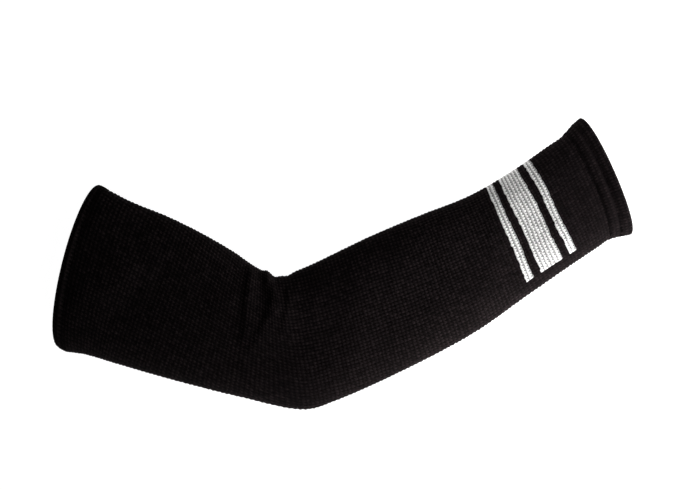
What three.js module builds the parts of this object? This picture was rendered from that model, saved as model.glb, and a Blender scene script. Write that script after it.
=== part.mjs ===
// A knitted fielding sleeve for one arm, lying on a table with its elbow bent.
//
// The sleeve is a seamless tube of thick elastic knit with a turned hem sewn at each opening.
// It lies on its side, so its sections are flattened ovals that rest on the plane z = 0.
// x runs from the upper arm to the wrist, y towards the crook of the elbow, and z is up.
// All sizes are in millimetres.
import * as THREE from "three";

// Knit
const WALL = 2; // one layer of the knit
const HEM_WALL = 3.2; // the knit turned in and sewn to itself
const SEAM_GAP = 0.3; // between the tube and each hem

// Section across the sleeve, as a flattened superellipse
const ROUNDNESS = 2.5; // exponent of the superellipse: 2 is an ellipse
const WIDEST_AT = 0.46; // height of the widest level, as a share of the section's height
const PRESS = 3; // how far the free section would reach below the table, where it lies flat

// Faceting
const RING_SIDES = 40; // round the section
const OUTLINE_DIVISIONS = 240; // for spacing the sides evenly round the section

// Sections from the upper-arm opening to the wrist opening, one row each.
// The crook edge is at the inside of the elbow, the point edge at the outside.
// steps is the number of facets from this section to the next.
const SECTIONS = [
  { at: "upper-arm rim", crookX: -167.3, crookY: 54.2, pointX: -195.6, pointY: -57.2, height: 27, steps: 1 },
  { at: "upper-arm seam", crookX: -163.7, crookY: 52.2, pointX: -190, pointY: -60.4, height: 28, steps: 2 },
  { at: "upper arm", crookX: -146.5, crookY: 43, pointX: -176.5, pointY: -62.7, height: 28.2, steps: 3 },
  { at: "upper arm", crookX: -118.5, crookY: 31.5, pointX: -156, pointY: -68.8, height: 27, steps: 3 },
  { at: "upper arm", crookX: -94.5, crookY: 19.5, pointX: -129, pointY: -76.7, height: 26.5, steps: 4 },
  { at: "above the folds", crookX: -73.8, crookY: 7.4, pointX: -100.5, pointY: -84.4, height: 26, steps: 8 },
  { at: "first fold", crookX: -59.5, crookY: -2.5, pointX: -70.5, pointY: -91.8, height: 25.5, steps: 10 },
  { at: "elbow", crookX: -45.5, crookY: -9, pointX: -25, pointY: -100.6, height: 25.5, steps: 9 },
  { at: "below the folds", crookX: -31.1, crookY: -5.5, pointX: -3.3, pointY: -94.3, height: 25.5, steps: 5 },
  { at: "forearm", crookX: 19.5, crookY: 18.2, pointX: 59.2, pointY: -65.5, height: 25, steps: 3 },
  { at: "forearm", crookX: 54, crookY: 32.8, pointX: 95, pointY: -45.5, height: 24.5, steps: 3 },
  { at: "forearm", crookX: 88.5, crookY: 46.5, pointX: 127.5, pointY: -22.5, height: 24, steps: 3 },
  { at: "above the wrist", crookX: 119.5, crookY: 64.5, pointX: 158.5, pointY: -1, height: 23.5, steps: 3 },
  { at: "wrist", crookX: 141, crookY: 79.6, pointX: 176.3, pointY: 11, height: 23, steps: 2 },
  { at: "wrist seam", crookX: 154, crookY: 89.3, pointX: 185, pointY: 16.7, height: 23, steps: 1 },
  { at: "wrist rim", crookX: 165.2, crookY: 100.2, pointX: 200.4, pointY: 20.2, height: 24, steps: 1 },
];
const UPPER_RIM = rowOf("upper-arm rim");
const UPPER_SEAM = rowOf("upper-arm seam");
const WRIST_SEAM = rowOf("wrist seam");
const WRIST_RIM = rowOf("wrist rim");

// Each rim bows outwards between its two edges, as half an ellipse. bow is how far, along the sleeve
// towards the wrist. It is whole at the rim, and fades from there to another row of SECTIONS.
const RIM_BOWS = [
  { rim: UPPER_RIM, fadedAt: UPPER_RIM + 4, bow: -11.1 },
  { rim: WRIST_RIM, fadedAt: WRIST_RIM - 4, bow: 6 },
];

// Folds at the crook of the elbow, first the three on its edge and then the three pleats across the top.
// at is the row of SECTIONS where a fold's line meets the crook edge, lean how many rows the line drifts
// in crossing the sleeve, and depth how far it sinks (a ridge is negative). before and after are its half
// widths in rows, on the upper-arm side and on the wrist side. It is deepest at the share from of the
// sleeve's width, counted from the crook edge, and ends at to.
const FOLDS = [
  { at: 6.62, lean: 0.2, depth: -3.6, before: 0.2, after: 0.2, from: 0, to: 0.2 },
  { at: 7, lean: 0, depth: 1.2, before: 0.13, after: 0.13, from: 0, to: 0.14 },
  { at: 7.66, lean: 0, depth: 2, before: 0.22, after: 0.22, from: 0, to: 0.12 },
  { at: 5.8, lean: -0.26, depth: -1.6, before: 0.09, after: 0.4, from: 0.07, to: 0.9 },
  { at: 6.84, lean: 0.86, depth: -1.5, before: 0.09, after: 0.35, from: 0.07, to: 0.9 },
  { at: 7.77, lean: 1.7, depth: -1, before: 0.12, after: 0.4, from: 0.07, to: 0.75 },
];
const FOLD_EASE = 0.08; // share of the sleeve's width over which a fold deepens
const FOLD_UNDERSIDE = 0.5; // share of a fold's depth on the side that lies on the table
const FOLD_INDENT = 0.6; // share of a fold's depth by which it also moves the crook edge
const INDENT_POWER = 3; // how close to the crook edge a fold draws it in

// Hems, as ribs between rows of stitches, from the rim inwards: each rib's width.
const UPPER_HEM_RIBS = [5];
const WRIST_HEM_RIBS = [7.5, 7.5];
const RIB_PUFF = 1; // how far a rib stands out between its stitches
const STITCH_DIP = 0.5; // how far the stitches draw the knit in
const RIB_STEPS = 4;
const LIP_STEPS = 4; // round the fold at the rim

const crookEdge = edgeCurve("crookX", "crookY");
const pointEdge = edgeCurve("pointX", "pointY");

function rowOf(place) {
  return SECTIONS.findIndex((section) => section.at === place);
}

// One edge of the sleeve in plan, with the section's height as its z.
function edgeCurve(columnX, columnY) {
  return new THREE.CatmullRomCurve3(SECTIONS.map((s) => new THREE.Vector3(s[columnX], s[columnY], s.height)));
}

// The section at a row of SECTIONS, or part of the way from one row to the next.
function sectionAt(row) {
  const crook = crookEdge.getPoint(row / WRIST_RIM);
  const point = pointEdge.getPoint(row / WRIST_RIM);
  const across = new THREE.Vector3(crook.x - point.x, crook.y - point.y, 0);
  const halfWidth = across.length() / 2;
  across.normalize();
  return {
    halfWidth,
    across,
    height: crook.z,
    middle: new THREE.Vector3((crook.x + point.x) / 2, (crook.y + point.y) / 2, 0),
    along: new THREE.Vector3(across.y, -across.x, 0),
  };
}

// A section's outline, moved outwards by offset: x runs across towards the crook, y is the height.
class SectionOutline extends THREE.Curve {
  constructor(section, offset) {
    super();
    this.arcLengthDivisions = OUTLINE_DIVISIONS;
    this.reach = section.halfWidth + offset;
    this.top = section.height + offset;
    this.floor = Math.max(0, -offset);
    this.level = section.height * WIDEST_AT;
    this.bottom = -PRESS - offset;
  }

  getPoint(share, target = new THREE.Vector3()) {
    const angle = 2 * Math.PI * share;
    const c = rounded(Math.cos(angle));
    const s = rounded(Math.sin(angle));
    const z = s > 0 ? this.level + s * (this.top - this.level) : this.level + s * (this.level - this.bottom);
    return target.set(this.reach * c, Math.max(z, this.floor), 0);
  }
}

function rounded(cosine) {
  return Math.sign(cosine) * Math.abs(cosine) ** (2 / ROUNDNESS);
}

// How far the folds sink the knit at a row and a share of the width, which is 1 at the crook edge.
function foldDepth(row, side) {
  const fromCrook = (1 - side) / 2;
  let depth = 0;
  for (const fold of FOLDS) {
    const distance = row - fold.at + fold.lean * fromCrook;
    const share = distance / (distance < 0 ? fold.before : fold.after);
    const rise = THREE.MathUtils.smoothstep(fromCrook, fold.from - FOLD_EASE, fold.from);
    const fade = 1 - THREE.MathUtils.smoothstep(fromCrook, fold.from, fold.to);
    depth += fold.depth * rise * fade * Math.exp(-share * share);
  }
  return depth;
}

// How far the rims' bows move the knit along the sleeve.
function bowShift(row, side) {
  let shift = 0;
  for (const { rim, fadedAt, bow } of RIM_BOWS) {
    const faded = THREE.MathUtils.clamp((row - rim) / (fadedAt - rim), 0, 1);
    shift += bow * (1 - THREE.MathUtils.smoothstep(faded, 0, 1)) * Math.sqrt(1 - side * side);
  }
  return shift;
}

// The points round the sleeve at a row, offset outwards from the knit's outer face.
function ring(row, offset) {
  const section = sectionAt(row);
  const outline = new SectionOutline(section, offset);
  const points = outline.getSpacedPoints(RING_SIDES).slice(0, RING_SIDES);
  return points.map((p) => {
    const side = THREE.MathUtils.clamp(p.x / outline.reach, -1, 1);
    const depth = foldDepth(row, side);
    const upper = p.y / section.height;
    const sink = p.y > 0 ? depth * upper : 0;
    const lift = FOLD_UNDERSIDE * Math.max(depth, 0) * (1 - upper);
    const indent = FOLD_INDENT * depth * Math.max(side, 0) ** INDENT_POWER;
    return section.middle
      .clone()
      .addScaledVector(section.across, p.x - indent)
      .addScaledVector(section.along, bowShift(row, side))
      .setZ(p.y - sink + lift);
  });
}

// A closed wall: its own section, as [row, offset] points in order, swept round the sleeve.
function wall(name, profile, material) {
  const positions = [];
  const index = [];
  profile.forEach(([row, offset]) => ring(row, offset).forEach((p) => positions.push(p.x, p.y, p.z)));
  profile.forEach((_, i) => {
    const next = (i + 1) % profile.length;
    for (let j = 0; j < RING_SIDES; j++) {
      const k = (j + 1) % RING_SIDES;
      const corner = i * RING_SIDES;
      const opposite = next * RING_SIDES;
      index.push(corner + j, corner + k, opposite + k);
      index.push(corner + j, opposite + k, opposite + j);
    }
  });
  const geometry = new THREE.BufferGeometry();
  geometry.setAttribute("position", new THREE.Float32BufferAttribute(positions, 3));
  geometry.setIndex(index);
  geometry.computeVertexNormals();
  const mesh = new THREE.Mesh(geometry, material);
  mesh.name = name;
  return mesh;
}

// Rows at which the tube is faceted, from one row of SECTIONS to another.
function facetRows(from, to) {
  const rows = [];
  for (let i = from; i < to; i++) {
    for (let k = 0; k < SECTIONS[i].steps; k++) rows.push(i + k / SECTIONS[i].steps);
  }
  return [...rows, to];
}

// Length of the sleeve's middle line from one row to the next.
function rowLength(row) {
  return sectionAt(row).middle.distanceTo(sectionAt(row + 1).middle);
}

// The knitted tube between the two hems: out along its outer face and back along its inner face.
function knitTube(material) {
  const rows = facetRows(UPPER_SEAM, WRIST_SEAM);
  rows[0] += SEAM_GAP / rowLength(UPPER_SEAM);
  rows[rows.length - 1] -= SEAM_GAP / rowLength(WRIST_SEAM - 1);
  const outer = rows.map((row) => [row, 0]);
  const inner = rows.toReversed().map((row) => [row, -WALL]);
  return wall("knit_tube", [...outer, ...inner], material);
}

// A turned hem's own section, from its rim inwards, as [distance from the rim, offset] points.
function hemProfile(ribs) {
  const profile = [];
  const radius = HEM_WALL / 2;
  for (let k = LIP_STEPS; k > 0; k--) {
    const angle = (Math.PI * k) / LIP_STEPS;
    profile.push([radius * (1 - Math.sin(angle)), radius * Math.cos(angle) - radius]);
  }
  let start = 0;
  ribs.forEach((width, rib) => {
    for (let k = rib === 0 ? 0 : 1; k <= RIB_STEPS; k++) {
      const share = k / RIB_STEPS;
      const from = rib === 0 ? radius : 0;
      const distance = start + from + (width - from) * share;
      const dip = rib === 0 && k === 0 ? 0 : STITCH_DIP;
      profile.push([distance, RIB_PUFF * Math.sin(Math.PI * share) - dip]);
    }
    start += width;
  });
  profile.push([start, -HEM_WALL]);
  return profile;
}

// A hem between a rim and the seam row next to it.
function hem(name, rim, seam, ribs, material) {
  const width = ribs.reduce((sum, rib) => sum + rib, 0);
  const rowAt = (distance) => rim + ((seam - rim) * distance) / width;
  const profile = hemProfile(ribs).map(([distance, offset]) => [rowAt(distance), offset]);
  return wall(name, seam > rim ? profile : profile.toReversed(), material);
}

const blackKnit = new THREE.MeshStandardMaterial({ color: 0x151314, roughness: 0.95, metalness: 0 });
const blackHem = new THREE.MeshStandardMaterial({ color: 0x121011, roughness: 0.95, metalness: 0 });

const sleeve = new THREE.Group();
sleeve.add(
  knitTube(blackKnit),
  hem("upper_arm_hem", UPPER_RIM, UPPER_SEAM, UPPER_HEM_RIBS, blackHem),
  hem("wrist_hem", WRIST_RIM, WRIST_SEAM, WRIST_HEM_RIBS, blackHem),
);

// The origin is on the table, at the middle of the sleeve's footprint.
const footprint = new THREE.Box3().setFromObject(sleeve).getCenter(new THREE.Vector3());
sleeve.children.forEach((mesh) => mesh.position.set(-footprint.x, -footprint.y, 0));

export default sleeve;
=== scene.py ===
"""Looks of a knitted fielding sleeve that lies on a table with its elbow bent.

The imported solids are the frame, and a detailed mesh stands in for each of them. Its surface is worked
out from the same sections as the solids and then knitted: each stitch has its own relief, the hems have
ribs between rows of sewing, and white yarn makes bars near the wrist. All sizes are in metres.
"""
import math
from collections import namedtuple

import bpy
import numpy as np
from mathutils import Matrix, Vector


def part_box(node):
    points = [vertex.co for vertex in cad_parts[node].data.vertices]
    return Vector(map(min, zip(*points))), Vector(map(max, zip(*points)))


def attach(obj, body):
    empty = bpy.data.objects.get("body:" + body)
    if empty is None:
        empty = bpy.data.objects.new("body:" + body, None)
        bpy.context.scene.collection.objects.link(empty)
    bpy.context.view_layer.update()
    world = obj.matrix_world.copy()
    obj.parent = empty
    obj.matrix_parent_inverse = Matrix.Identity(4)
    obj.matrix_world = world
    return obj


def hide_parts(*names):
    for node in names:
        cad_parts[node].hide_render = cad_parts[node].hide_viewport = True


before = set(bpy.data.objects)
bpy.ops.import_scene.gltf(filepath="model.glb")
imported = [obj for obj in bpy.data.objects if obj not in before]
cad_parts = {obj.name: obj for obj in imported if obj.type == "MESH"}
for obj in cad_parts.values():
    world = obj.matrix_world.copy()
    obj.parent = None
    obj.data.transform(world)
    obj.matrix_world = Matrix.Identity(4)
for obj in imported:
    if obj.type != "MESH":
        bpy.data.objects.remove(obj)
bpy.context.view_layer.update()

# Sections from the upper-arm opening to the wrist opening, as in the solids.
# The crook edge is at the inside of the elbow, the point edge at the outside.
Section = namedtuple("Section", "crook_x crook_y point_x point_y height")
SECTIONS = [
    Section(-0.1673, 0.0542, -0.1956, -0.0572, 0.0270),  # upper-arm rim
    Section(-0.1637, 0.0522, -0.1900, -0.0604, 0.0280),  # upper-arm seam
    Section(-0.1465, 0.0430, -0.1765, -0.0627, 0.0282),
    Section(-0.1185, 0.0315, -0.1560, -0.0688, 0.0270),
    Section(-0.0945, 0.0195, -0.1290, -0.0767, 0.0265),
    Section(-0.0738, 0.0074, -0.1005, -0.0844, 0.0260),  # above the folds
    Section(-0.0595, -0.0025, -0.0705, -0.0918, 0.0255),
    Section(-0.0455, -0.0090, -0.0250, -0.1006, 0.0255),  # elbow
    Section(-0.0311, -0.0055, -0.0033, -0.0943, 0.0255),  # below the folds
    Section(0.0195, 0.0182, 0.0592, -0.0655, 0.0250),
    Section(0.0540, 0.0328, 0.0950, -0.0455, 0.0245),
    Section(0.0885, 0.0465, 0.1275, -0.0225, 0.0240),
    Section(0.1195, 0.0645, 0.1585, -0.0010, 0.0235),
    Section(0.1410, 0.0796, 0.1763, 0.0110, 0.0230),
    Section(0.1540, 0.0893, 0.1850, 0.0167, 0.0230),  # wrist seam
    Section(0.1652, 0.1002, 0.2004, 0.0202, 0.0240),  # wrist rim
]
UPPER_RIM = 0
UPPER_SEAM = 1
WRIST_RIM = len(SECTIONS) - 1
WRIST_SEAM = WRIST_RIM - 1

# Section across the sleeve, a flattened superellipse
ROUNDNESS = 2.5  # exponent: 2 is an ellipse
WIDEST_AT = 0.46  # height of the widest level, as a share of the section's height
PRESS = 0.003  # how far the free section would reach below the table, where it lies flat

# The rims bow outwards between their edges, as half ellipses. A bow is a distance towards the wrist,
# whole at the rim, and it fades from there to another row.
Bow = namedtuple("Bow", "rim faded_at distance")
RIM_BOWS = [Bow(UPPER_RIM, UPPER_RIM + 4, -0.0111), Bow(WRIST_RIM, WRIST_RIM - 4, 0.0060)]

# Folds at the crook, first the three on its edge and then the three pleats across the top, and last the
# two that set the wrist hem off from the tube at the crook edge. The first four are as in the solids.
# Each has the row where its line meets the crook edge, the rows that the line drifts in crossing the
# sleeve, how far it sinks (a ridge is negative), its half widths in rows on the upper-arm side and on the
# wrist side, and the shares of the width, counted from the crook edge, where it is deepest and ends.
Fold = namedtuple("Fold", "row lean depth before after deepest end")
FOLDS = [
    Fold(6.62, 0.20, -0.0036, 0.20, 0.20, 0.00, 0.20),
    Fold(7.00, 0.00, 0.0012, 0.13, 0.13, 0.00, 0.14),
    Fold(7.66, 0.00, 0.0020, 0.22, 0.22, 0.00, 0.12),
    Fold(5.80, -0.26, -0.0016, 0.09, 0.40, 0.07, 0.90),
    Fold(6.93, 1.25, -0.0014, 0.09, 0.42, 0.07, 0.95),
    Fold(7.70, 2.00, -0.0012, 0.10, 0.50, 0.05, 0.80),
    Fold(13.75, 0.00, 0.0008, 0.70, 0.18, 0.00, 0.16),
    Fold(14.42, 0.00, -0.0012, 0.22, 0.45, 0.00, 0.16),
]
FOLD_EASE = 0.08  # share of the sleeve's width over which a fold deepens
FOLD_UNDERSIDE = 0.5  # share of a fold's depth on the side that lies on the table
FOLD_INDENT = 0.6  # share of a fold's depth by which it also moves the crook edge
INDENT_POWER = 3  # how close to the crook edge a fold draws it in

# Knit
WALL = 0.002  # one layer
WALES = 90  # columns of stitches round the sleeve
COURSE = 0.00283  # length of a stitch along the sleeve
COURSE_RINGS = 2  # rings of points to a course: its neck and its belly
TWIST = 0.2  # turns by which the wales wind round the sleeve, most of it in the upper arm
# How far a course runs back towards the elbow at the point edge, against the share of the sleeve's length.
COURSE_LEAN_AT = [0.0, 0.25, 0.42, 0.60, 0.82, 0.96, 1.0]
COURSE_LEAN = [0.0, -0.003, 0.008, 0.016, 0.0085, 0.0, 0.0]

# Relief of one stitch, at three points across it: the valley between wales and its two legs.
# The legs stand apart and proud at the stitch's belly, and draw together at its neck.
Relief = namedtuple("Relief", "across height")
BELLY = Relief((0.0, 0.28, 0.72), (-0.0002, 0.0005, 0.0005))
NECK = Relief((0.0, 0.38, 0.62), (-0.0003, 0.0, 0.0))
LEGS = len(BELLY.across)
COLUMNS = WALES * LEGS
STITCH_JITTER = 0.00006  # uneven height of single stitches
WALE_JITTER = 0.06  # uneven place of single stitches, in wales and in courses
COURSE_JITTER = 0.06
SETTLED = 0.01  # the courses are even at the hems, and uneven from this far on
INNER_RINGS = 46  # rings on the tube's inner face

# Broad waves that leave the top and the rows of stitches uneven
WAVES = 9
WAVES_ALONG = (3, 12)  # how often a wave comes along the sleeve, at least and at most
WAVES_AROUND = (1, 5)  # how often round it: a whole number, at least the first and below the second
LUMP_HEIGHT = 0.0003
STITCH_WANDER = 0.12  # how far the rows of stitches stray, in stitches

# Hems: ribs between rows of sewing, from the rim inwards
HEM_WALL = 0.0032  # the knit turned in and sewn to itself
UPPER_HEM_RIBS = (0.0050,)
WRIST_HEM_RIBS = (0.0075, 0.0075)
UPPER_GROOVE = 0.0006  # how far the sewing draws the knit in
WRIST_GROOVE = 0.0016
GROOVE_SPREAD = 0.0040  # how far from the sewing the tube is drawn in
RIB_RISE = 0.0002  # how far the top of a rib stands out beyond the tube
RIM_RIB_START = 0.3  # share of its arch at which the rib at the rim starts
RIM_RIB_EASE = 0.3  # share of its width over which it takes on the arch, from the round of the rim
RIB_STEPS = 9
LIP_STEPS = 8  # round the rim
INSIDE_STEPS = 3  # on the side that faces the arm
HEM_EDGE_RELIEF = 0.1  # share of the ribs' relief left at the sleeve's two edges
EDGE_POWER = 4  # how close to those edges the relief fades
HEM_RELIEF = 0.7  # share of the tube's stitch relief left on the stretched hems
HEM_COURSES = 0.25  # rise and fall of the courses there, as a share of the depth of a stitch
SEAM_LAP = 0.0002  # how far the tube runs into the hem's sewing

# Sewing thread
THREAD = 0.00028  # radius
THREAD_TAPER = 0.5  # share of the radius at a stitch's two ends
THREAD_PITCH = 0.0027
THREAD_REACH = 0.0011  # half length along the sleeve
THREAD_SLANT = 0.35  # share of the pitch by which a stitch slants
THREAD_JITTER = 0.06  # uneven place of single stitches, as a share of the pitch
THREAD_ARCH = 0.0001  # how far its middle stands out
THREAD_RINGS = 5
THREAD_SIDES = 6

# White bars, in courses from the wrist seam towards the elbow: where the first starts, and their widths
BARS_START = 11
BAR_WIDTHS = (2, 6, 2)
BAR_GAP = 2
# Where the bars stop, from 1 at the crook edge to -1 at the point edge
BARS_END_TOP = -0.80
BARS_END_UNDERNEATH = 0.20

# Grid on which the surface is worked out
LENGTHWISE = 800
FINE_LENGTHWISE = 8 * LENGTHWISE  # points by which distances along the sleeve are measured
ROUND = 720
TOP_SHARE = 0.27  # share of the way round at the middle of the top
NORMAL_REACH = 8  # points to each side of one, from which its normal is found: eases the underside's edges

# Yarn and thread: colours in their hollows and on their crests. The hollow colours are painted shade: the
# hollows are coloured darker than the crests, as the relief would be shaded. The thread is black, and darker
# than the yarn's crests as painted shade in the sewn grooves.
BLACK_PAINTED_SHADE = (0.0009, 0.0006, 0.00065, 1)
BLACK_CREST = (0.0155, 0.0111, 0.0117, 1)
# painted shade: the thread is darker than the yarn's crests, so the sewn grooves read as dark lines
THREAD_CREST = (0.0045, 0.0032, 0.0034, 1)
WHITE_PAINTED_SHADE = (0.164, 0.162, 0.160, 1)
WHITE_CREST = (0.82, 0.81, 0.80, 1)
SHEEN_TINT = (0.05, 0.045, 0.045, 1)
SHEEN = 0.35
SHEEN_ROUGHNESS = 0.45
SPECULAR = 0.04
STRAND_SLOPE = 0.7  # how steeply the strands of a stitch lean to its middle, in courses for each wale
HALF_STITCH = 0.5

# Noise patterns: how fine they are, and how many finer layers they have
Noise = namedtuple("Noise", "scale detail")
FIBRES = Noise(1200.0, 2.0)
DYE_PATCHES = Noise(38.0, 2.0)
THREAD_PLY = Noise(2600.0, 1.0)
FLOOR_GRAIN = Noise(60.0, 3.0)

# Ramps: values of a pattern from low to high become values from to_low to to_high.
Ramp = namedtuple("Ramp", "low high to_low to_high")
# VALLEY sets painted shade: the yarn is coloured darker between wales, as shade would make it
VALLEY = Ramp(0.3, HALF_STITCH, 0.0, 1.0)  # the dark between wales, from a wale's middle outwards
# painted shade: each strand is coloured darker towards its neck than on its crest
STRAND_LIGHT = Ramp(0.04, 0.42, 0.15, 1.0)
STITCH_LIGHT = Ramp(0.0, 1.0, 0.4, 1.0)  # single stitches, each with its own light
FIBRE_LIGHT = Ramp(0.3, 0.7, 0.3, 1.55)
DYE_LIGHT = Ramp(0.3, 0.7, 0.8, 1.15)
FIBRE_ROUGHNESS = Ramp(0.3, 0.7, 0.82, 0.97)
# painted shade: each white strand is coloured darker towards its neck than on its crest
WHITE_STRAND_LIGHT = Ramp(0.02, 0.42, 0.0, 1.0)
WHITE_SHOWN = Ramp(0.2, 1.0, 1.0, 0.25)  # less of the white yarn shows in the valleys
PLY_LIGHT = Ramp(0.35, 0.65, 0.0, 1.0)
PLY_ROUGHNESS = Ramp(0.3, 0.7, 0.75, 0.9)

# Bumps finer than the meshes
Bump = namedtuple("Bump", "strength distance")
KNIT_BUMP = Bump(0.7, 0.0004)
STRAND_BUMP = 0.8  # shares of it from strands and from fibres
FIBRE_BUMP = 0.5
PLY_BUMP = Bump(0.5, 0.0002)

# Stage: floor, light and camera
FLOOR_SIZE = 8
FLOOR_DARK = (0.38, 0.38, 0.38, 1)
FLOOR_PALE = (0.42, 0.42, 0.42, 1)
FLOOR_ROUGHNESS = 0.9
FLOOR_SPECULAR = 0.1
FLOOR_GLOW = 0.98
PLAIN_WHITE = (1, 1, 1, 1)
WORLD_LIGHT = 0.05
PIXEL = 0.00069  # size of one of the photograph's pixels at the sleeve's widest level
FRAME_WIDTH = 700
VIEW_CENTRE = (0.0050, 0.0131)
CAMERA_HEIGHT = 4
OUTLINE_HEIGHT = 0.012  # height of the sleeve's widest level
SENSOR = 36
Lamp = namedtuple("Lamp", "name place aim size power spread")
LAMPS = [
    Lamp("key", (0.51, -0.32, 0.16), (0.14, 0.0, 0.01), 0.25, 0.85, 46),
    Lamp("fill", (0.18, 0.27, 0.14), (0.09, 0.03, 0.02), 0.15, 0.12, 80),
    Lamp("edge", (0.06, -0.56, 0.085), (0.02, -0.06, 0.01), 0.25, 0.45, 70),
    Lamp("left", (-0.62, 0.12, 0.14), (-0.16, 0.0, 0.015), 0.2, 0.02, 70),
    Lamp("overhead", (0.50, -0.20, 0.8), (0.14, 0.0, 0.0), 0.5, 0.3, 100),
]

SEED = 11
random = np.random.default_rng(SEED)


def smoothstep(value, low, high):
    share = np.clip((value - low) / (high - low), 0, 1)
    return share * share * (3 - 2 * share)


def path_length(points):
    """Distance along a path at each of its points."""
    steps = np.linalg.norm(np.diff(points, axis=0), axis=1)
    return np.concatenate([[0], np.cumsum(steps)])


def knot_gap(first, second):
    """How far a centripetal spline's parameter runs from one knot to the next."""
    return np.sqrt(np.linalg.norm(second - first, axis=1))[:, None]


def spline(knots, rows):
    """Points at fractional rows on a centripetal Catmull-Rom spline through knots, as in the solids."""
    extra_first = 2 * knots[:1] - knots[1:2]
    extra_last = 2 * knots[-1:] - knots[-2:-1]
    padded = np.concatenate([extra_first, knots, extra_last])
    start = np.minimum(rows.astype(int), len(knots) - 2)
    share = (rows - start)[:, None]
    before, here, there, after = (padded[start + step] for step in range(4))
    gap_before = knot_gap(before, here)
    gap = knot_gap(here, there)
    gap_after = knot_gap(there, after)
    leave = (here - before) / gap_before - (there - before) / (gap_before + gap) + (there - here) / gap
    arrive = (there - here) / gap - (after - here) / (gap + gap_after) + (after - there) / gap_after
    leave *= gap
    arrive *= gap
    square = 3 * (there - here) - 2 * leave - arrive
    cube = 2 * (here - there) + leave + arrive
    return here + share * (leave + share * (square + share * cube))


def section_frames(rows):
    """Middle, direction across, half width and height of the section at each row."""
    crook = spline(np.array([(s.crook_x, s.crook_y, s.height) for s in SECTIONS]), rows)
    point = spline(np.array([(s.point_x, s.point_y, s.height) for s in SECTIONS]), rows)
    across = (crook - point)[:, :2]
    width = np.linalg.norm(across, axis=1)[:, None]
    return (crook + point)[:, :2] / 2, across / width, width / 2, crook[:, 2:]


def rounded(cosine):
    return np.sign(cosine) * np.abs(cosine) ** (2 / ROUNDNESS)


def outlines(half_width, height, offset):
    """Each section's outline moved outwards by offset, evenly spaced: distance across, and height."""
    angle = np.linspace(0, 2 * np.pi, ROUND + 1)
    cosine = rounded(np.cos(angle))
    sine = rounded(np.sin(angle))
    level = height * WIDEST_AT
    above = level + sine * (height + offset - level)
    below = level + sine * (level + PRESS + offset)
    x = (half_width + offset) * cosine
    z = np.maximum(np.where(sine > 0, above, below), max(0, -offset))
    lengths = [path_length(np.stack(outline, axis=1)) for outline in zip(x, z)]
    even = np.linspace(0, 1, ROUND + 1)

    def spaced(values):
        return np.array([np.interp(even * length[-1], length, row) for length, row in zip(lengths, values)])

    return spaced(x), spaced(z)


def fold_depth(rows, side):
    """How far the folds sink the knit. side is 1 at the crook edge and -1 at the point edge."""
    from_crook = (1 - side) / 2
    depth = np.zeros_like(side)
    for fold in FOLDS:
        distance = rows - fold.row + fold.lean * from_crook
        distance /= np.where(distance < 0, fold.before, fold.after)
        rise = smoothstep(from_crook, fold.deepest - FOLD_EASE, fold.deepest)
        fade = 1 - smoothstep(from_crook, fold.deepest, fold.end)
        depth += fold.depth * rise * fade * np.exp(-distance ** 2)
    return depth


def bow_shift(rows, side):
    """How far the rims' bows move the knit along the sleeve."""
    shift = np.zeros_like(side)
    for bow in RIM_BOWS:
        fade = 1 - smoothstep((rows - bow.rim) / (bow.faded_at - bow.rim), 0, 1)
        shift += bow.distance * fade * np.sqrt(1 - side ** 2)
    return shift


def face_grid(rows, offset):
    """Points of the knit's face, by row and then round the sleeve, and the side that each is on."""
    middle, across, half_width, height = section_frames(rows)
    along = np.stack([across[:, 1], -across[:, 0]], axis=1)
    x, z = outlines(half_width, height, offset)
    side = np.clip(x / (half_width + offset), -1, 1)
    depth = fold_depth(rows[:, None], side)
    upper = z / height
    indent = FOLD_INDENT * depth * np.maximum(side, 0) ** INDENT_POWER
    plan = middle[:, None] + across[:, None] * (x - indent)[..., None]
    plan += along[:, None] * bow_shift(rows[:, None], side)[..., None]
    lift = FOLD_UNDERSIDE * np.maximum(depth, 0) * (1 - upper)
    return np.concatenate([plan, (z - depth * upper + lift)[..., None]], axis=2), side


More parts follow.
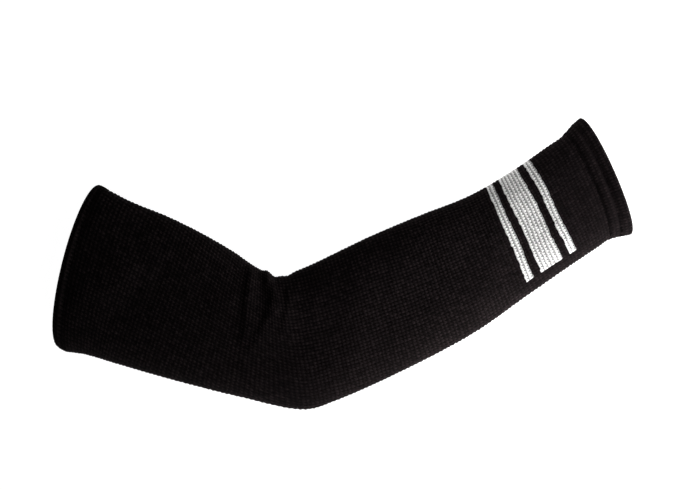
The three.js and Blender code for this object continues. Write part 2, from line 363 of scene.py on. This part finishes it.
class Skin:
    """The knit's outer face, its normals and its inner face, read at any row and share of the way round."""

    def __init__(self):
        self.fine_rows = np.linspace(UPPER_RIM, WRIST_RIM, FINE_LENGTHWISE)
        self.fine_distance = path_length(section_frames(self.fine_rows)[0])
        self.length = self.fine_distance[-1]
        self.rows = self.row_at(np.linspace(0, self.length, LENGTHWISE + 1))
        self.outer, self.side = face_grid(self.rows, 0)
        self.inner = face_grid(self.rows, -WALL)[0]
        self.place()
        self.normals = self.find_normals()

    def place(self):
        """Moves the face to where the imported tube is."""
        tube = self.outer[(self.rows >= UPPER_SEAM) & (self.rows <= WRIST_SEAM)].reshape(-1, 3)
        low, high = (np.array(corner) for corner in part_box("knit_tube"))
        shift = (low + high) / 2 - (tube.min(axis=0) + tube.max(axis=0)) / 2
        self.outer[..., :2] += shift[:2]
        self.inner[..., :2] += shift[:2]

    def find_normals(self):
        reach = NORMAL_REACH
        overlap = (self.outer[:, -1 - reach:-1], self.outer, self.outer[:, 1:reach + 1])
        wrapped = np.concatenate(overlap, axis=1)
        round_step = wrapped[:, 2 * reach:] - wrapped[:, :-2 * reach]
        along_step = np.gradient(self.outer, axis=0)
        normals = np.cross(round_step, along_step)
        return normals / np.linalg.norm(normals, axis=2, keepdims=True)

    def row_at(self, distance):
        return np.interp(distance, self.fine_distance, self.fine_rows)

    def distance_at(self, row):
        return np.interp(row, self.fine_rows, self.fine_distance)

    def read(self, grid, rows, shares):
        """Values of a grid between its points, at rows and shares of the same shape."""
        row = np.interp(rows, self.rows, np.arange(len(self.rows)))
        column = np.mod(shares, 1) * ROUND
        row_before = np.minimum(row.astype(int), len(self.rows) - 2)
        column_before = np.minimum(column.astype(int), ROUND - 1)
        along = row - row_before
        around = column - column_before
        if grid.ndim > 2:
            along = along[..., None]
            around = around[..., None]

        def on_row(number):
            return grid[number, column_before] * (1 - around) + grid[number, column_before + 1] * around

        return on_row(row_before) * (1 - along) + on_row(row_before + 1) * along

    def twist(self, rows):
        """Turns by which the wales have wound round the sleeve at a row."""
        share = self.distance_at(rows) / self.length
        return TWIST * share * (2 - share)

    def lean(self, rows, shares):
        """Rows moved along the sleeve as the courses lean there."""
        distance = self.distance_at(rows)
        back = np.interp(distance / self.length, COURSE_LEAN_AT, COURSE_LEAN)
        return self.row_at(distance - back * (1 - self.read(self.side, rows, shares)) / 2)

    def raised(self, rows, shares, height):
        """Points that stand out from the outer face by height, and not below the table."""
        normals = self.read(self.normals, rows, shares)
        normals /= np.linalg.norm(normals, axis=-1, keepdims=True)
        points = self.read(self.outer, rows, shares) + normals * height[..., None]
        points[..., 2] = np.maximum(points[..., 2], 0)
        return points


skin = Skin()


class Waves:
    """Broad unevenness, from about -1 to 1, at any row and share of the way round."""

    def __init__(self):
        self.along = random.uniform(*WAVES_ALONG, WAVES)
        self.around = random.integers(*WAVES_AROUND, WAVES)
        self.phase = random.uniform(0, 2 * np.pi, WAVES)

    def read(self, rows, shares):
        lengthwise = skin.distance_at(rows) / skin.length
        height = np.zeros(np.broadcast(rows, shares).shape)
        for along, around, phase in zip(self.along, self.around, self.phase):
            height += np.sin(2 * np.pi * (along * lengthwise + around * shares) + phase)
        return height / math.sqrt(WAVES)


lump_waves = Waves()
wale_waves = Waves()
course_waves = Waves()


def lumps(rows, shares):
    """Unevenness of the sleeve's top, which fades on the face that lies on the table."""
    upward = np.clip(skin.read(skin.normals, rows, shares)[..., 2], 0, 1)
    return LUMP_HEIGHT * lump_waves.read(rows, shares) * upward


def stitch_columns(relief):
    """Place round the sleeve, in wales, of each column of points."""
    return (np.arange(WALES)[:, None] + np.array(relief.across)).ravel()


def add_object(name, data):
    made = bpy.data.objects.new(name, data)
    bpy.context.collection.objects.link(made)
    return made


def add_uv(mesh, name, across, along):
    places = np.stack([np.stack(across, axis=2).ravel(), np.stack(along, axis=2).ravel()], axis=1)
    mesh.uv_layers.new(name=name).data.foreach_set("uv", places.astype(np.float32).ravel())


def ring_mesh(name, rings, wale, course):
    """A mesh of quads through rings of points, closed round each ring and from the last ring to the first.
    wale and course are each point's place in the knit, kept as the UV map stitch for the materials."""
    count, columns = rings.shape[:2]
    ring, column = np.meshgrid(np.arange(count), np.arange(columns), indexing="ij")
    next_ring = (ring + 1) % count
    next_column = (column + 1) % columns
    corners = ((ring, column), (ring, next_column), (next_ring, next_column), (next_ring, column))
    faces = np.stack([r * columns + c for r, c in corners], axis=2).reshape(-1, 4)
    mesh = bpy.data.meshes.new(name)
    mesh.from_pydata(rings.reshape(-1, 3).tolist(), [], faces.tolist())

    over = np.where(next_column == 0, WALES, 0)
    turns = (0, over, over, 0)
    stitch_across = [wale[corner] + turn for corner, turn in zip(corners, turns)]
    stitch_along = [course[corner_ring] for corner_ring, _ in corners]
    add_uv(mesh, "stitch", stitch_across, stitch_along)
    bake_across = [edge / columns for edge in (column, column + 1, column + 1, column)]
    bake_along = [edge / count for edge in (ring, ring, ring + 1, ring + 1)]
    add_uv(mesh, "OFBake", bake_across, bake_along)

    mesh.shade_smooth()
    mesh.update()
    return add_object(name, mesh)


def course_lines(start, end):
    """Distances along the sleeve of the necks and bellies of its courses, evenly spaced along its top."""
    fine = np.linspace(start, end, LENGTHWISE)
    top = np.full(LENGTHWISE, TOP_SHARE)
    length = path_length(skin.read(skin.outer, skin.lean(skin.row_at(fine), top), top))
    courses = round(length[-1] / COURSE)
    return np.interp(np.linspace(0, length[-1], COURSE_RINGS * courses + 1), length, fine)


def stray(distance, wale, start, end):
    """Rows and shares of the way round of a grid of points in the knit, each stitch a little out of place."""
    stitches = (len(distance), WALES)
    shares = wale / WALES
    rows = skin.row_at(np.repeat(distance[:, None], COLUMNS, axis=1))
    across = WALE_JITTER * np.repeat(random.normal(size=stitches), LEGS, axis=1)
    across += STITCH_WANDER * wale_waves.read(rows, shares)
    along = COURSE_JITTER * np.repeat(random.normal(size=stitches), LEGS, axis=1)
    along += STITCH_WANDER * course_waves.read(rows, shares)
    freedom = smoothstep(np.minimum(distance - start, end - distance), 0, SETTLED)
    return skin.row_at(distance[:, None] + along * COURSE * freedom[:, None]), shares + across / WALES


def edge_relief(rows, shares):
    """Share of the hems' relief at each place: they are drawn flat at the sleeve's two edges."""
    return 1 - (1 - HEM_EDGE_RELIEF) * skin.read(skin.side, rows, shares) ** EDGE_POWER


def build_tube():
    """The knitted tube between the hems: every stitch on its outer face, and a plain inner face."""
    start = skin.distance_at(UPPER_SEAM) - SEAM_LAP
    end = skin.distance_at(WRIST_SEAM) + SEAM_LAP
    distance = course_lines(start, end)
    ring = np.arange(len(distance))
    belly = (ring % COURSE_RINGS == 1)[:, None]
    wale = np.where(belly, stitch_columns(BELLY), stitch_columns(NECK))
    height = np.where(belly, np.tile(BELLY.height, WALES), np.tile(NECK.height, WALES))
    rows, shares = stray(distance, wale, start, end)
    shares = shares + skin.twist(rows)
    rows = skin.lean(rows, shares)
    height = height + random.normal(0, STITCH_JITTER, height.shape) + lumps(rows, shares)
    for groove, from_seam in ((UPPER_GROOVE, distance - start), (WRIST_GROOVE, end - distance)):
        drawn_in = groove * np.exp(-(from_seam / GROOVE_SPREAD) ** 2)
        height = height - drawn_in[:, None] * edge_relief(rows, shares)
    outer = skin.raised(rows, shares, height)

    inner_distance = np.linspace(end, start, INNER_RINGS)
    inner_rows = np.repeat(skin.row_at(inner_distance)[:, None], COLUMNS, axis=1)
    inner_wale = np.repeat(stitch_columns(BELLY)[None], INNER_RINGS, axis=0)
    inner_shares = inner_wale / WALES + skin.twist(inner_rows)
    inner_rows = skin.lean(inner_rows, inner_shares)
    inner = skin.read(skin.inner, inner_rows, inner_shares)

    rings = np.concatenate([outer, inner])
    course = np.concatenate([ring / COURSE_RINGS, (inner_distance - start) / COURSE])
    tube = ring_mesh("sleeve_knit", rings, np.concatenate([wale, inner_wale]), course)
    add_bars(tube, rows, shares)
    return tube


def add_bars(tube, rows, shares):
    """Marks the faces of the stitches that are knitted in white yarn, as the attribute white_yarn."""
    courses = len(rows) // COURSE_RINGS
    white_courses = np.zeros(courses, bool)
    from_seam = BARS_START
    for width in BAR_WIDTHS:
        white_courses[courses - from_seam - width:courses - from_seam] = True
        from_seam += width + BAR_GAP
    one_per_stitch = (slice(1, None, COURSE_RINGS), slice(1, None, LEGS))
    side = skin.read(skin.side, rows[one_per_stitch], shares[one_per_stitch])
    on_top = skin.read(skin.normals, rows[one_per_stitch], shares[one_per_stitch])[..., 2] > 0
    white = white_courses[:, None] & (side > np.where(on_top, BARS_END_TOP, BARS_END_UNDERNEATH))
    faces = np.zeros((len(tube.data.polygons) // COLUMNS, COLUMNS), np.float32)
    faces[:COURSE_RINGS * courses] = np.repeat(np.repeat(white, COURSE_RINGS, axis=0), LEGS, axis=1)
    tube.data.attributes.new("white_yarn", "FLOAT", "FACE").data.foreach_set("value", faces.ravel())


def hem_profile(ribs, groove):
    """A turned hem's own section, closed, as points (distance from the rim, offset outwards, relief)."""
    radius = HEM_WALL / 2
    points = []
    for angle in np.linspace(np.pi, 0, LIP_STEPS + 1)[:-1]:
        out = math.cos(angle)
        points.append((radius * (1 - math.sin(angle)), radius * out - radius, max(out, 0)))
    start = 0
    for number, width in enumerate(ribs):
        at_rim = number == 0
        first = radius if at_rim else 0
        lowest = RIM_RIB_START if at_rim else 0
        for share in np.linspace(0, 1, RIB_STEPS + 1)[0 if at_rim else 1:]:
            arch = math.sin(math.pi * (lowest + (1 - lowest) * share)) if share < 1 else 0
            level = smoothstep(share, 0, RIM_RIB_EASE) if at_rim else 1
            offset = level * ((RIB_RISE + groove) * arch - groove)
            points.append((start + first + (width - first) * share, offset, 1))
        start += width
    for share in np.linspace(1, 0, INSIDE_STEPS + 1)[:-1]:
        points.append((radius + (start - radius) * share, -HEM_WALL, 0))
    return np.array(points)


def build_hem(name, rim, seam, ribs, groove):
    """A turned hem, with the knit's wales running over it."""
    profile = hem_profile(ribs, groove)
    if seam < rim:
        profile = profile[::-1]
    distance, offset, relief = profile.T[:, :, None]
    rows = np.repeat(rim + (seam - rim) * distance / sum(ribs), COLUMNS, axis=1)
    wale = np.repeat(stitch_columns(BELLY)[None], len(profile), axis=0)
    shares = wale / WALES + skin.twist(rows)
    courses = HEM_COURSES * np.ptp(BELLY.height) * np.cos(2 * np.pi * distance / COURSE)
    height = HEM_RELIEF * relief * (np.tile(BELLY.height, WALES) + courses)
    height = height + random.normal(0, STITCH_JITTER, height.shape) * relief + lumps(rows, shares)
    height += offset * (1 - relief * (1 - edge_relief(rows, shares)))
    return ring_mesh(name, skin.raised(rows, shares, height), wale, distance[:, 0] / COURSE)


def build_sewing(name, rim, seam, ribs, depth):
    """Rows of slanted stitches in a hem's grooves of a depth, as one mesh of short thread arches."""
    rows_each = (seam - rim) / sum(ribs)
    along = np.linspace(-1, 1, THREAD_RINGS)
    vertices = []
    faces = []
    for groove in np.cumsum(ribs):
        centre = rim + rows_each * groove
        ring = skin.read(skin.outer, np.full(ROUND + 1, centre), np.linspace(0, 1, ROUND + 1))
        count = round(path_length(ring)[-1] / THREAD_PITCH)
        rows = np.repeat((centre + rows_each * THREAD_REACH * along)[None], count, axis=0)
        rows = np.clip(rows, UPPER_RIM, WRIST_RIM)
        jitter = random.normal(0, THREAD_JITTER, (count, 1))
        shares = (np.arange(count)[:, None] + THREAD_SLANT * along + jitter) / count
        arch = THREAD_ARCH * np.cos(np.pi / 2 * along) + THREAD - depth * edge_relief(rows, shares)
        faces += [[corner + len(vertices) for corner in face] for face in thread_faces(count)]
        vertices += thread_points(rows, shares, arch).reshape(-1, 3).tolist()
    mesh = bpy.data.meshes.new(name)
    mesh.from_pydata(vertices, [], faces)
    mesh.shade_smooth()
    return add_object(name, mesh)


def thread_points(rows, shares, height):
    """Rings of points round threads: by thread, ring along it, and side."""
    path = skin.raised(rows, shares, height)
    tangent = np.gradient(path, axis=1)
    tangent /= np.linalg.norm(tangent, axis=2, keepdims=True)
    beside = np.cross(tangent, skin.read(skin.normals, rows, shares))
    beside /= np.linalg.norm(beside, axis=2, keepdims=True)
    up = np.cross(beside, tangent)
    angle = np.linspace(0, 2 * np.pi, THREAD_SIDES + 1)[:-1]
    circle = beside[:, :, None] * np.cos(angle)[:, None] + up[:, :, None] * np.sin(angle)[:, None]
    taper = np.ones(THREAD_RINGS)
    taper[[0, -1]] = THREAD_TAPER
    points = path[:, :, None] + THREAD * taper[:, None, None] * circle
    points[..., 2] = np.maximum(points[..., 2], 0)
    return points


def thread_faces(count):
    """Faces of a number of threads: the quads round each, and its two ends."""
    faces = []
    size = THREAD_RINGS * THREAD_SIDES
    for first in range(0, count * size, size):
        for ring in range(first, first + size - THREAD_SIDES, THREAD_SIDES):
            for side in range(THREAD_SIDES):
                corner = ring + side
                beside = ring + (side + 1) % THREAD_SIDES
                faces.append([corner, beside, beside + THREAD_SIDES, corner + THREAD_SIDES])
        last = first + size - THREAD_SIDES
        faces.append([first + side for side in reversed(range(THREAD_SIDES))])
        faces.append([last + side for side in range(THREAD_SIDES)])
    return faces


class Nodes:
    """A short way to write a material's nodes."""

    def __init__(self, name):
        self.material = bpy.data.materials.new(name)
        self.material.use_nodes = True
        self.tree = self.material.node_tree
        self.shader = self.tree.nodes["Principled BSDF"]

    def set(self, socket, value):
        if isinstance(value, bpy.types.NodeSocket):
            self.tree.links.new(value, socket)
        else:
            socket.default_value = value

    def shade(self, inputs):
        for name, value in inputs.items():
            self.set(self.shader.inputs[name], value)

    def add(self, kind, inputs=(), **settings):
        made = self.tree.nodes.new(kind)
        for name, value in settings.items():
            setattr(made, name, value)
        for name, value in dict(inputs).items():
            self.set(made.inputs[name], value)
        return made

    def math(self, operation, *values):
        return self.add("ShaderNodeMath", enumerate(values), operation=operation).outputs[0]

    def ramp(self, value, ramp):
        inputs = {"From Min": ramp.low, "From Max": ramp.high, "To Min": ramp.to_low, "To Max": ramp.to_high}
        return self.add("ShaderNodeMapRange", {"Value": value, **inputs}).outputs[0]

    def place(self):
        return self.add("ShaderNodeTexCoord").outputs["Object"]

    def noise(self, place, noise):
        inputs = {"Vector": place, "Scale": noise.scale, "Detail": noise.detail}
        return self.add("ShaderNodeTexNoise", inputs).outputs[0]

    def bump(self, height, bump):
        inputs = {"Height": height, "Strength": bump.strength, "Distance": bump.distance}
        return self.add("ShaderNodeBump", inputs).outputs[0]

    def mix(self, share, first, second):
        made = self.add("ShaderNodeMix", data_type="RGBA")
        for name, value in (("Factor", share), ("A", first), ("B", second)):
            self.set(next(s for s in made.inputs if s.name == name and s.enabled), value)
        return next(s for s in made.outputs if s.enabled)


def knit_material(name, has_white):
    """Knit of fuzzy yarn: strands in V shape on each stitch, fibres, uneven dye, and painted shade in the
    valleys between wales and towards each strand's neck.
    With has_white, the stitches that have the attribute white_yarn are white, with painted shade along their
    strands."""
    nodes = Nodes(name)
    stitch = nodes.add("ShaderNodeUVMap", uv_map="stitch").outputs[0]
    across, along, _ = nodes.add("ShaderNodeSeparateXYZ", {0: stitch}).outputs
    place = nodes.place()
    leg = nodes.math("ABSOLUTE", nodes.math("SUBTRACT", nodes.math("FRACT", across), HALF_STITCH))
    strand = nodes.math("PINGPONG", nodes.math("MULTIPLY_ADD", leg, STRAND_SLOPE, along), HALF_STITCH)
    valley = nodes.ramp(leg, VALLEY)
    fibre = nodes.noise(place, FIBRES)
    patch = nodes.noise(place, DYE_PATCHES)
    whole = {0: nodes.math("FLOOR", across), 1: nodes.math("FLOOR", along)}
    number = nodes.add("ShaderNodeCombineXYZ", whole).outputs[0]
    odd = nodes.add("ShaderNodeTexWhiteNoise", {"Vector": number}, noise_dimensions="3D").outputs[0]

    # Painted shade: the colour darkens in the valleys between wales and towards each strand's neck; single
    # stitches, fibres and dye also vary it at random.
    ridge = nodes.math("SUBTRACT", 1.0, valley)
    light = nodes.math("MULTIPLY", nodes.ramp(strand, STRAND_LIGHT), ridge)
    for pattern, ramp in ((odd, STITCH_LIGHT), (fibre, FIBRE_LIGHT), (patch, DYE_LIGHT)):
        light = nodes.math("MULTIPLY", light, nodes.ramp(pattern, ramp))
    colour = nodes.mix(light, BLACK_PAINTED_SHADE, BLACK_CREST)
    if has_white:
        yarn = nodes.add("ShaderNodeAttribute", attribute_name="white_yarn").outputs["Fac"]
        # painted shade along the white strands, darker towards their necks
        white = nodes.mix(nodes.ramp(strand, WHITE_STRAND_LIGHT), WHITE_PAINTED_SHADE, WHITE_CREST)
        shown = nodes.math("MULTIPLY", yarn, nodes.ramp(valley, WHITE_SHOWN))
        colour = nodes.mix(shown, colour, white)
    fibre_height = nodes.math("MULTIPLY", fibre, FIBRE_BUMP)
    height = nodes.math("MULTIPLY_ADD", strand, STRAND_BUMP, fibre_height)
    nodes.shade({
        "Base Color": colour,
        "Roughness": nodes.ramp(fibre, FIBRE_ROUGHNESS),
        "Specular IOR Level": SPECULAR,
        "Sheen Weight": SHEEN,
        "Sheen Roughness": SHEEN_ROUGHNESS,
        "Sheen Tint": SHEEN_TINT,
        "Normal": nodes.bump(height, KNIT_BUMP),
    })
    return nodes.material


def thread_material():
    """Twisted sewing thread. It is black, and darker than the yarn's crests as painted shade in the sewn
    grooves, with painted shade in the hollows of its ply.
    """
    nodes = Nodes("black_thread")
    ply = nodes.noise(nodes.place(), THREAD_PLY)
    nodes.shade({
        "Base Color": nodes.mix(nodes.ramp(ply, PLY_LIGHT), BLACK_PAINTED_SHADE, THREAD_CREST),
        "Roughness": nodes.ramp(ply, PLY_ROUGHNESS),
        "Specular IOR Level": SPECULAR,
        "Normal": nodes.bump(ply, PLY_BUMP),
    })
    return nodes.material


def floor_material():
    """Pale matt table top that glows enough to read as white with a faint shadow."""
    nodes = Nodes("pale_floor")
    nodes.shade({
        "Base Color": nodes.mix(nodes.noise(nodes.place(), FLOOR_GRAIN), FLOOR_DARK, FLOOR_PALE),
        "Roughness": FLOOR_ROUGHNESS,
        "Specular IOR Level": FLOOR_SPECULAR,
        "Emission Color": PLAIN_WHITE,
        "Emission Strength": FLOOR_GLOW,
    })
    return nodes.material


def add_floor():
    mesh = bpy.data.meshes.new("floor")
    half = FLOOR_SIZE / 2
    corners = [(-half, -half, 0), (half, -half, 0), (half, half, 0), (-half, half, 0)]
    mesh.from_pydata(corners, [], [(0, 1, 2, 3)])
    mesh.materials.append(floor_material())
    floor = add_object("floor", mesh)


def add_lamps():
    for lamp in LAMPS:
        light = bpy.data.lights.new(lamp.name, "AREA")
        light.shape = "DISK"
        light.size = lamp.size
        light.energy = lamp.power
        light.spread = math.radians(lamp.spread)
        thing = add_object(lamp.name, light)
        thing.location = lamp.place
        thing.rotation_euler = (Vector(lamp.aim) - thing.location).to_track_quat("-Z", "Y").to_euler()
        thing.visible_camera = False
    world = bpy.data.worlds.new("studio")
    world.use_nodes = True
    background = world.node_tree.nodes["Background"]
    background.inputs["Color"].default_value = PLAIN_WHITE
    background.inputs["Strength"].default_value = WORLD_LIGHT
    bpy.context.scene.world = world


def add_camera():
    """Straight above the sleeve, framed as in the photograph."""
    lens = bpy.data.cameras.new("camera")
    lens.sensor_width = SENSOR
    lens.lens = SENSOR * (CAMERA_HEIGHT - OUTLINE_HEIGHT) / (FRAME_WIDTH * PIXEL)
    camera = add_object("camera", lens)
    camera.location = (*VIEW_CENTRE, CAMERA_HEIGHT)
    bpy.context.scene.camera = camera


def dress(piece, material):
    piece.data.materials.append(material)
    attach(piece, "root")


knit = knit_material("black_knit_yarn", has_white=True)
hem_knit = knit_material("black_hem_yarn", has_white=False)
thread = thread_material()

tube = build_tube()
dress(tube, knit)
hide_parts("knit_tube")
hems = []
for name, node, rim, seam, ribs, groove in (
    ("upper_arm_turned_hem", "upper_arm_hem", UPPER_RIM, UPPER_SEAM, UPPER_HEM_RIBS, UPPER_GROOVE),
    ("wrist_turned_hem", "wrist_hem", WRIST_RIM, WRIST_SEAM, WRIST_HEM_RIBS, WRIST_GROOVE),
):
    hem = build_hem(name, rim, seam, ribs, groove)
    dress(hem, hem_knit)
    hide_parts(node)
    sewing = build_sewing(name.replace("turned_hem", "sewing"), rim, seam, ribs, groove)
    dress(sewing, thread)
    hems += [hem, sewing]

add_floor()
add_lamps()
add_camera()
bpy.context.scene.view_settings.view_transform = "Standard"
